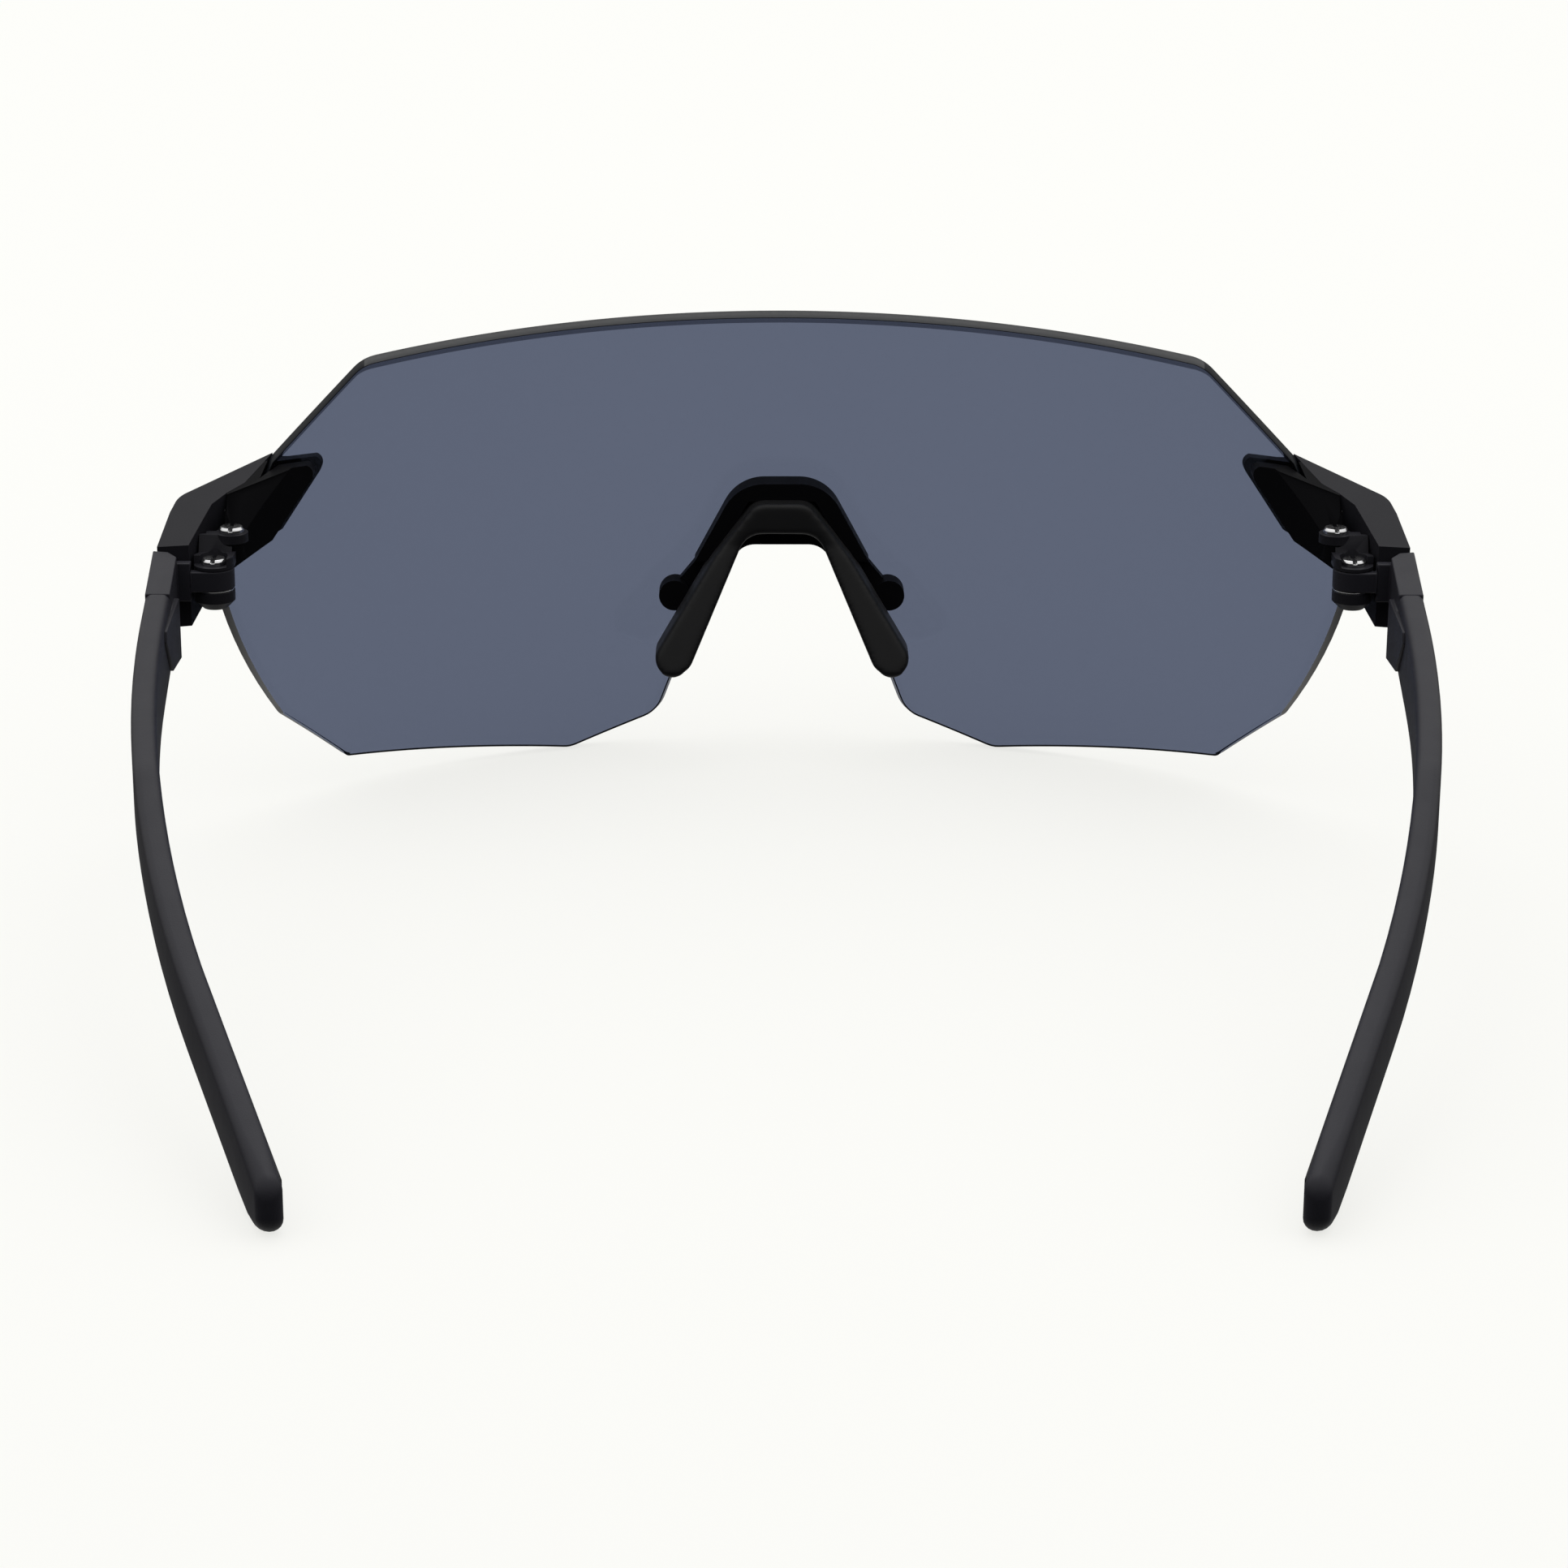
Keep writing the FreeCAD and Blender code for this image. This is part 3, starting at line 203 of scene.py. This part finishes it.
WELD_DISTANCE = 2e-6
FLAT_ANGLE = math.radians(0.6)
BEVEL_ANGLE = math.radians(32)
SHARP_ANGLE = math.radians(40)
BEVEL_SEGMENTS = 3
RELAX_FACTOR = 0.5
SOFT_SWELL = 0.14 * MM


def make_object(name, mesh, body, materials, replaced):
    """Links a mesh as a piece of the object."""
    piece = bpy.data.objects.new(name, mesh)
    bpy.context.scene.collection.objects.link(piece)
    for material in materials:
        mesh.materials.append(material)
    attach(piece, body)
    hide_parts(*replaced)
    return piece


def node_copy(node):
    """Mesh of a CAD node with its doubled corners welded and its flats merged."""
    work = bmesh.new()
    work.from_mesh(NODES[node].data)
    bmesh.ops.remove_doubles(work, verts=work.verts, dist=WELD_DISTANCE)
    bmesh.ops.dissolve_limit(work, angle_limit=FLAT_ANGLE, verts=work.verts, edges=work.edges)
    bmesh.ops.recalc_face_normals(work, faces=work.faces)
    return work


def finished_mesh(work, name):
    """Turns a bmesh into a named mesh and frees it."""
    mesh = bpy.data.meshes.new(name)
    work.to_mesh(mesh)
    work.free()
    return mesh


def strip(work, first, second):
    """Smooth quads between two closed rings of corners, in the order of the first ring."""
    faces = []
    for index in range(len(first)):
        after = (index + 1) % len(first)
        face = work.faces.new((first[index], first[after], second[after], second[index]))
        face.smooth = True
        faces.append(face)
    return faces


def rounded_piece(node, body, material, width):
    """CAD shape with its corners eased by a narrow round."""
    mesh = finished_mesh(node_copy(node), node + "_eased")
    piece = make_object(node + "_eased", mesh, body, [material], [node])
    bevel = piece.modifiers.new("eased_corners", "BEVEL")
    bevel.width = width
    bevel.segments = BEVEL_SEGMENTS
    bevel.limit_method = "ANGLE"
    bevel.angle_limit = BEVEL_ANGLE
    bevel.use_clamp_overlap = True
    for polygon in mesh.polygons:
        polygon.use_smooth = True
    mesh.set_sharp_from_angle(angle=BEVEL_ANGLE)


def soft_piece(node, body, material, voxel, rounds):
    """CAD shape remeshed and relaxed as a moulded elastomer is, then swelled to make up for it."""
    work = node_copy(node)
    bmesh.ops.triangulate(work, faces=work.faces)
    mesh = finished_mesh(work, node + "_moulded")
    piece = make_object(node + "_moulded", mesh, body, [material], [node])
    remesh = piece.modifiers.new("skin", "REMESH")
    remesh.mode = "VOXEL"
    remesh.voxel_size = voxel
    remesh.use_smooth_shade = True
    relax = piece.modifiers.new("relax", "SMOOTH")
    relax.factor = RELAX_FACTOR
    relax.iterations = rounds
    swell = piece.modifiers.new("swell", "DISPLACE")
    swell.mid_level = 0.0
    swell.strength = SOFT_SWELL


# ---------------------------------------------------------------- lens

OUTLINE_STEP = 0.9 * MM
OUTER_LOOP_SHARE = 0.98

# The front face is part of a torus, with LENS_ACROSS its radius in plan and LENS_UP in side view.
# It reaches furthest forwards at the height LENS_EQUATOR.
LENS_ACROSS = 85.0 * MM
LENS_UP = 180.0 * MM
LENS_EQUATOR = 27.0 * MM
LENS_THICK = 2.1 * MM

# Each face of the lens is rings about a hub point (x, z), from HUB_SHARE of the way out to the rim.
LENS_HUB = (0.0, 44.0 * MM)
HUB_SHARE = 0.02
FACE_RINGS = 40

# The wall leans inwards from front to rear, more at the sides. A small round eases both rims, and
# the rear rim has a bevel that is widest along the top.
WALL_LEAN = 0.40 * MM
SIDE_LEAN = 0.65 * MM
SIDE_REACH = 60.0 * MM
WRAPPED_SHARE = 0.3
RIM_EASE = 0.12 * MM
EASE_MIDDLE = 0.3 * RIM_EASE
SIDE_LINE = 0.06 * MM
TOP_BEVEL = 0.50 * MM
LOW_LINE = 0.08 * MM
BEVEL_POWER = 3

# Upward part of the edge's normal: over TOP_FACING an edge is a top one, and over SLOPE_FACING it
# is the level middle.
TOP_FACING = 0.25
SLOPE_FACING = 0.9

# Bands of the edge from front to rear: 0 and 1 ease the front rim, 2 is the wall, 3 and 4 ease the
# rear rim and 5 is the bevel.
WALL_BAND = 2
BEVEL_BAND = 5
LENS_MATERIALS = [LENS_TINT, LENS_EDGE, LENS_BEVEL_PAINTED_SHADE, LENS_EDGE_SLOPE_PAINTED_SHADE, LENS_WALL_PAINTED_LIGHT]


def in_order(points):
    """The same closed outline, always counter-clockwise from its leftmost point."""
    after = points[1:] + points[:1]
    if sum(x0 * z1 - x1 * z0 for (x0, z0), (x1, z1) in zip(points, after)) < 0:
        points = points[::-1]
    first = points.index(min(points))
    return points[first:] + points[:first]


def rim_loop(node):
    """Front rim of the lens as (x, z) points in order round the edge, from the CAD node."""
    work = node_copy(node)
    rim = [edge for edge in work.edges
           if len(edge.link_faces) == 2 and edge.calc_face_angle(0.0) > SHARP_ANGLE]
    neighbours = {}
    for edge in rim:
        a, b = edge.verts
        neighbours.setdefault(a, []).append(b)
        neighbours.setdefault(b, []).append(a)
    loops = []
    left = dict.fromkeys(neighbours)
    while left:
        start = next(iter(left))
        del left[start]
        chain, current = [start], start
        while True:
            onward = [v for v in neighbours[current] if v in left]
            if not onward:
                break
            current = onward[0]
            del left[current]
            chain.append(current)
        loops.append([v.co.copy() for v in chain])
    work.free()
    widest = max(max(p.x for p in loop) for loop in loops)
    rims = [loop for loop in loops if max(p.x for p in loop) > widest * OUTER_LOOP_SHARE]
    front = max(rims, key=lambda loop: max(p.y for p in loop))
    return in_order([(p.x, p.z) for p in front])


def resample(points, step):
    """Closed outline with extra points on its long runs."""
    dense = []
    for (x0, z0), (x1, z1) in zip(points, points[1:] + points[:1]):
        count = max(1, round(math.hypot(x1 - x0, z1 - z0) / step))
        for index in range(count):
            t = index / count
            dense.append((x0 + (x1 - x0) * t, z0 + (z1 - z0) * t))
    return dense


def lens_depth(x, z, offset):
    """Distance behind the apex of a point on the toric surface, offset inwards."""
    rise = z - LENS_EQUATOR
    radius = LENS_ACROSS - LENS_UP + math.sqrt((LENS_UP - offset) ** 2 - rise ** 2)
    return LENS_ACROSS - math.sqrt(radius ** 2 - x ** 2)


def outward(points):
    """Unit normals that point out of a closed counter-clockwise outline."""
    normals = []
    for (x0, z0), (x1, z1) in zip(points[-1:] + points[:-1], points[1:] + points[:1]):
        run = math.hypot(x1 - x0, z1 - z0)
        normals.append(((z1 - z0) / run, (x0 - x1) / run))
    return normals


def wall_lean(x, nx, nz):
    """Extra inward lean of the rear rim, which grows where the shield wraps round the side."""
    sideways = max(0.0, math.copysign(nx, nx * x)) * (abs(x) / SIDE_REACH) ** 2
    return SIDE_LEAN * sideways * max(0.0, 1.0 - max(0.0, nz) / TOP_FACING)


def lens_finish(band, facing, wrapped):
    """Material of a face: the tint off the edge, and on it by band, slope and side. The sloped top
    edge and the top bevel take painted shade, and the wrapped walls painted light.
    """
    if not 0 <= band <= BEVEL_BAND:
        return LENS_TINT
    if facing > TOP_FACING:
        # On the top edge the bevel and the sloped stretches take painted-shade materials.
        if band == BEVEL_BAND:
            return LENS_BEVEL_PAINTED_SHADE
        return LENS_EDGE if facing > SLOPE_FACING else LENS_EDGE_SLOPE_PAINTED_SHADE
    # The wrapped side walls take a lighter, bluer painted-light tint.
    if band == WALL_BAND:
        return LENS_WALL_PAINTED_LIGHT if wrapped else LENS_TINT
    return LENS_EDGE if (band > WALL_BAND) != wrapped else LENS_TINT


def lens_rings():
    """Rings from hub to hub as (share of the way out, inset, share of the bevel, depth)."""
    shares = [HUB_SHARE + (1.0 - HUB_SHARE) * i / FACE_RINGS for i in range(FACE_RINGS)]
    rear_inset = WALL_LEAN + RIM_EASE
    front = [(share, RIM_EASE, 0.0, 0.0) for share in shares]
    wall = [(1.0, RIM_EASE, 0.0, 0.0), (1.0, EASE_MIDDLE, 0.0, EASE_MIDDLE),
            (1.0, 0.0, 0.0, RIM_EASE), (1.0, WALL_LEAN, 0.0, LENS_THICK - RIM_EASE),
            (1.0, WALL_LEAN + EASE_MIDDLE, 0.0, LENS_THICK - EASE_MIDDLE),
            (1.0, rear_inset, 0.0, LENS_THICK), (1.0, rear_inset, 1.0, LENS_THICK)]
    return front + wall + [(share, rear_inset, 1.0, LENS_THICK) for share in reversed(shares)]


def build_lens():
    """Shield on a polar grid about a point above the notch, with a leaning wall and a bevel."""
    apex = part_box("lens")[1].y
    outline = resample(rim_loop("lens"), OUTLINE_STEP)
    normals = outward(outline)
    bevels = [SIDE_LINE + TOP_BEVEL * max(0.0, nz) ** BEVEL_POWER
              + LOW_LINE * max(0.0, -nz) ** BEVEL_POWER for nx, nz in normals]
    leans = [wall_lean(x, nx, nz) for (x, z), (nx, nz) in zip(outline, normals)]
    work = bmesh.new()
    grid = []
    for share, inset, bevel_share, offset in lens_rings():
        row = []
        for (x, z), (nx, nz), bevel, lean in zip(outline, normals, bevels, leans):
            inward = inset + bevel * bevel_share + lean * (inset >= WALL_LEAN)
            dx, dz = x - nx * inward - LENS_HUB[0], z - nz * inward - LENS_HUB[1]
            px, pz = LENS_HUB[0] + dx * share, LENS_HUB[1] + dz * share
            row.append(work.verts.new((px, apex - lens_depth(px, pz, offset), pz)))
        grid.append(row)
    for level, (first, second) in enumerate(zip(grid, grid[1:])):
        for index, face in enumerate(strip(work, first, second)):
            after = (index + 1) % len(outline)
            facing = (normals[index][1] + normals[after][1]) / 2
            wrapped = (leans[index] + leans[after]) / 2 > SIDE_LEAN * WRAPPED_SHARE
            finish = lens_finish(level - FACE_RINGS, facing, wrapped)
            face.material_index = LENS_MATERIALS.index(finish)
    for row in (grid[0], grid[-1]):
        work.faces.new(row).smooth = True
    bmesh.ops.recalc_face_normals(work, faces=work.faces)
    mesh = finished_mesh(work, "shield_lens")
    make_object("shield_lens", mesh, "front", LENS_MATERIALS, ["lens"])
    mesh.set_sharp_from_angle(angle=SHARP_ANGLE)


# ---------------------------------------------------------------- temples

CORNER_STEPS = 5
LARGEST_CORNER = 0.49
ARM_STATIONS = 84
TIP_STATIONS = 18
TIP_LENGTH = 3.0 * MM
END_INSET = 0.02 * MM
ARM_EASE = 0.85 * MM
TIP_EASE = 0.65 * MM
TIP_EASE_RUN = 8.0 * MM


def section(work, y):
    """Box of the cut through a mesh at one Y, as (x low, x high, z low, z high)."""
    copy = work.copy()
    cut = bmesh.ops.bisect_plane(copy, geom=copy.verts[:] + copy.edges[:] + copy.faces[:],
                                 plane_co=(0, y, 0), plane_no=(0, 1, 0))
    points = [g.co.copy() for g in cut["geom_cut"] if isinstance(g, bmesh.types.BMVert)]
    copy.free()
    xs, zs = [p.x for p in points], [p.z for p in points]
    return min(xs), max(xs), min(zs), max(zs)


def rounded_ring(low_x, high_x, low_z, high_z, radius):
    """Rounded rectangle as (x, z) points; no corner takes quite half of a side."""
    radius = min(radius, (high_x - low_x) * LARGEST_CORNER, (high_z - low_z) * LARGEST_CORNER)
    corners = ((high_x - radius, high_z - radius), (low_x + radius, high_z - radius),
               (low_x + radius, low_z + radius), (high_x - radius, low_z + radius))
    ring = []
    for quarter, (cx, cz) in enumerate(corners):
        for step in range(CORNER_STEPS + 1):
            angle = math.radians(90 * quarter + 90 * step / CORNER_STEPS)
            ring.append((cx + radius * math.cos(angle), cz + radius * math.sin(angle)))
    return ring


def arm_stations(tip, front):
    """Y of each section: even along the arm and closer together round the tip."""
    turn = tip + TIP_LENGTH
    even = [front + (turn - front) * i / ARM_STATIONS for i in range(ARM_STATIONS)]
    return even + [turn - TIP_LENGTH * math.sin(math.pi / 2 * i / TIP_STATIONS)
                   for i in range(TIP_STATIONS + 1)]


def build_arm(side):
    """Arm lofted through boxes of the CAD sections, with softened corners and a round tip."""
    node = "temple_arm_" + side
    work = node_copy(node)
    low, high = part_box(node)
    tip = low.y + END_INSET
    loft = bmesh.new()
    rows = []
    for y in arm_stations(tip, high.y - END_INSET):
        ease = ARM_EASE + TIP_EASE * max(0.0, 1.0 - (y - tip) / TIP_EASE_RUN)
        rows.append([loft.verts.new((x, y, z)) for x, z in rounded_ring(*section(work, y), ease)])
    work.free()
    for first, second in zip(rows, rows[1:]):
        strip(loft, first, second)
    loft.faces.new(rows[0])
    loft.faces.new(rows[-1])
    bmesh.ops.recalc_face_normals(loft, faces=loft.faces)
    mesh = finished_mesh(loft, node + "_shaped")
    make_object(node + "_shaped", mesh, "temple_" + side, [TEMPLE_BLACK], [node])
    mesh.set_sharp_from_angle(angle=SHARP_ANGLE)


# ---------------------------------------------------------------- pieces

build_lens()
# The nose bridge and rivets take the darker painted-shade copy of the frame plastic.
rounded_piece("nose_bridge", "front", PAINTED_SHADE_BLACK, width=0.22 * MM)
soft_piece("nose_pad", "front", RUBBER, voxel=0.22 * MM, rounds=26)
rounded_piece("nose_rivets", "front", PAINTED_SHADE_BLACK, width=0.12 * MM)
for side in SIDES:
    temple = "temple_" + side
    rounded_piece("end_piece_" + side, "front", FRAME_BLACK, width=0.16 * MM)
    # The clamp takes the darker painted-shade copy of the frame plastic.
    rounded_piece("lens_clamp_" + side, "front", PAINTED_SHADE_BLACK, width=0.14 * MM)
    rounded_piece("hinge_block_" + side, "front", FRAME_BLACK, width=0.15 * MM)
    rounded_piece("clamp_screw_" + side, "front", STEEL, width=0.05 * MM)
    rounded_piece("hinge_screw_" + side, "front", STEEL, width=0.05 * MM)
    rounded_piece("hinge_washer_" + side, "front", STEEL, width=0.04 * MM)
    rounded_piece("temple_front_" + side, temple, TEMPLE_BLACK, width=0.3 * MM)
    rounded_piece("temple_pin_" + side, temple, STEEL, width=0.06 * MM)
    rounded_piece("temple_grip_" + side, temple, RUBBER, width=0.3 * MM)
    build_arm(side)


# ---------------------------------------------------------------- stage, light and camera

# Radius of the flat floor, radius of its upward turn and height of the wall, in metres.
FLOOR_FLAT = 2.0
WALL_ROUND = 1.0
WALL_TOP = 6.0
COVE_STEPS = 12
FLOOR_SEGMENTS = 72


def build_floor():
    """Flat floor that turns up into a round wall, so that every side has a plain pale ground."""
    profile = [(FLOOR_FLAT + WALL_ROUND * math.sin(math.pi / 2 * i / COVE_STEPS),
                WALL_ROUND * (1 - math.cos(math.pi / 2 * i / COVE_STEPS)))
               for i in range(COVE_STEPS + 1)]
    profile.append((FLOOR_FLAT + WALL_ROUND, WALL_TOP))
    turns = [2 * math.pi * i / FLOOR_SEGMENTS for i in range(FLOOR_SEGMENTS)]
    work = bmesh.new()
    rings = [[work.verts.new((radius * math.cos(turn), radius * math.sin(turn), height))
              for turn in turns] for radius, height in profile]
    work.faces.new(rings[0])
    for low, high in zip(rings, rings[1:]):
        strip(work, low, high)
    mesh = finished_mesh(work, "floor")
    mesh.materials.append(pale_floor())
    floor = bpy.data.objects.new("floor", mesh)
    bpy.context.scene.collection.objects.link(floor)
    floor.visible_diffuse = False
    floor.visible_glossy = False
    floor.visible_shadow = False


def area_light(name, place, target, width, power):
    """Square light at one point that faces another."""
    data = bpy.data.lights.new(name, "AREA")
    data.shape = "SQUARE"
    data.size = width
    data.energy = power
    lamp = bpy.data.objects.new(name, data)
    bpy.context.scene.collection.objects.link(lamp)
    lamp.location = place
    lamp.rotation_euler = (Vector(target) - Vector(place)).to_track_quat("-Z", "Y").to_euler()


# Each glow of the sky is at its least up to FROM and full where the direction meets its aim.
# SKY_SIDES lifts both sides.
SKY_COLOUR = (1.0, 0.998, 0.975, 1.0)
SKY_AIM = (0.0, 0.25, 0.968)
SKY_FROM = -0.05
SKY_DIM = 0.02
SKY_BRIGHT = 1.30
SKY_SIDES = 0.18
BOUNCE_AIM = (0.0, 0.3, -0.954)
BOUNCE_FROM = 0.40
BOUNCE_BRIGHT = 0.50
SOFTBOX_PLACE = (0.0, 0.35, 0.9)
SOFTBOX_WIDTH = 0.6
SOFTBOX_POWER = 1.2


def along(tree, direction, aim):
    """How nearly a direction meets an aim, from -1 to 1."""
    node = add_node(tree, "ShaderNodeVectorMath", operation="DOT_PRODUCT")
    node.inputs[1].default_value = aim
    tree.links.new(direction, node.inputs[0])
    return node.outputs["Value"]


def soft_glow(tree, factor, start, low, high):
    """Brightness that rises smoothly from low at the start to high at 1."""
    glow = spread(tree, factor, low, high)
    glow.node.inputs["From Min"].default_value = start
    glow.node.interpolation_type = "SMOOTHSTEP"
    return glow


def light_studio():
    """Soft dome that is bright above and ahead and dim behind the camera.

    The sides are lifted a little, a glow from below and ahead stands in for light off a pale table,
    and one softbox hangs on top.
    """
    scene = bpy.context.scene
    scene.view_settings.view_transform = "Standard"
    world = bpy.data.worlds.new("studio")
    scene.world = world
    world.use_nodes = True
    tree = world.node_tree
    sky = tree.nodes["Background"]
    sky.inputs["Color"].default_value = SKY_COLOUR
    direction = add_node(tree, "ShaderNodeTexCoord").outputs["Generated"]
    ahead = along(tree, direction, SKY_AIM)
    axes = add_node(tree, "ShaderNodeSeparateXYZ")
    tree.links.new(direction, axes.inputs[0])
    sideways = add_node(tree, "ShaderNodeMath", operation="ABSOLUTE")
    tree.links.new(axes.outputs["X"], sideways.inputs[0])
    lift = add_node(tree, "ShaderNodeMath", operation="MULTIPLY_ADD")
    tree.links.new(sideways.outputs["Value"], lift.inputs[0])
    lift.inputs[1].default_value = SKY_SIDES
    tree.links.new(ahead, lift.inputs[2])
    dome = soft_glow(tree, lift.outputs["Value"], SKY_FROM, SKY_DIM, SKY_BRIGHT)
    below = along(tree, direction, BOUNCE_AIM)
    bounce = soft_glow(tree, below, BOUNCE_FROM, 0.0, BOUNCE_BRIGHT)
    both = add_node(tree, "ShaderNodeMath", operation="ADD")
    tree.links.new(dome, both.inputs[0])
    tree.links.new(bounce, both.inputs[1])
    tree.links.new(both.outputs["Value"], sky.inputs["Strength"])
    area_light("top_softbox", SOFTBOX_PLACE, (0, 0, 0), SOFTBOX_WIDTH, SOFTBOX_POWER)


# The camera's angles are in degrees. Its angles, place and focal length were worked out from the
# photo's perspective, at the size that the record assumes.
CAMERA_PITCH = 18.756
CAMERA_YAW = 0.558
CAMERA_ROLL = 0.197
CAMERA_PLACE = Vector((-4.50, -430.49, 164.42)) * MM
CAMERA_FOCAL = 96.9
CAMERA_SENSOR = 36.0
CAMERA_CLIP = 0.01


def place_camera():
    """Camera behind and above the glasses, looking forwards through the lens."""
    pitch, yaw, roll = (math.radians(a) for a in (CAMERA_PITCH, CAMERA_YAW, CAMERA_ROLL))
    ahead = Vector((math.sin(yaw) * math.cos(pitch), math.cos(yaw) * math.cos(pitch),
                    -math.sin(pitch)))
    level = Vector((math.cos(yaw), -math.sin(yaw), 0))
    up = level.cross(ahead)
    right = level * math.cos(roll) + up * math.sin(roll)
    top = up * math.cos(roll) - level * math.sin(roll)
    data = bpy.data.cameras.new("camera")
    data.sensor_width = CAMERA_SENSOR
    data.lens = CAMERA_FOCAL
    data.clip_start = CAMERA_CLIP
    camera = bpy.data.objects.new("camera", data)
    bpy.context.scene.collection.objects.link(camera)
    camera.matrix_world = Matrix((right, top, -ahead)).transposed().to_4x4()
    camera.location = CAMERA_PLACE
    bpy.context.scene.camera = camera


build_floor()
light_studio()
place_camera()
